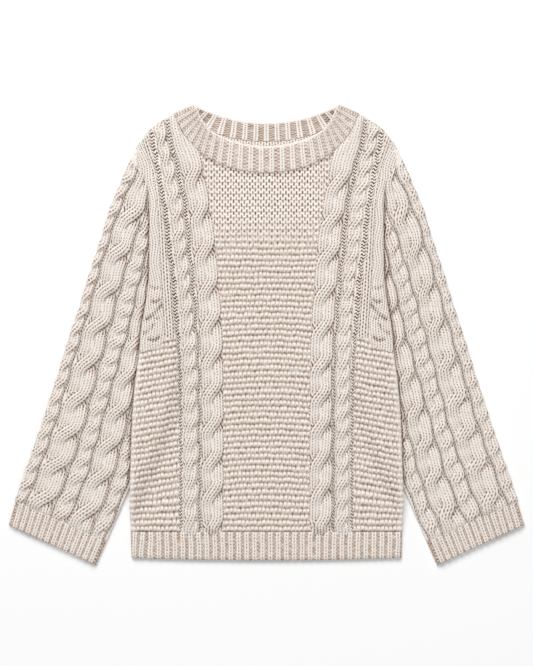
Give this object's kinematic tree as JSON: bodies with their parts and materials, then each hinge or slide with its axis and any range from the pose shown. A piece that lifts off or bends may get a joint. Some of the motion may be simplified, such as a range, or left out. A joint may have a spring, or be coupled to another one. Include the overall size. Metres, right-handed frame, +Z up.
{
  "type": "cable knit sweater",
  "caption": "Crew-neck pullover in thick rope-cable and garter knit, lying flat on its back with both sleeves pulled down beside the body.",
  "frame": {"origin": "centre of the sweater's footprint, on the surface it lies on", "axes": "+Z up, out of the front; +Y from the hem towards the neck; +X towards the sleeve on the right as seen from above"},
  "size_m": [0.7238, 0.6441, 0.0202],
  "materials": {
    "wool_knit": "matte, slightly fuzzy oatmeal wool knit"
  },
  "bodies": {
    "root": {"front": "wool_knit", "back": "wool_knit", "hem_front": "wool_knit", "hem_back": "wool_knit", "neckband": "wool_knit", "sleeve_left": "wool_knit", "sleeve_right": "wool_knit", "cuff_left": "wool_knit", "cuff_right": "wool_knit"}
  },
  "joints": []
}
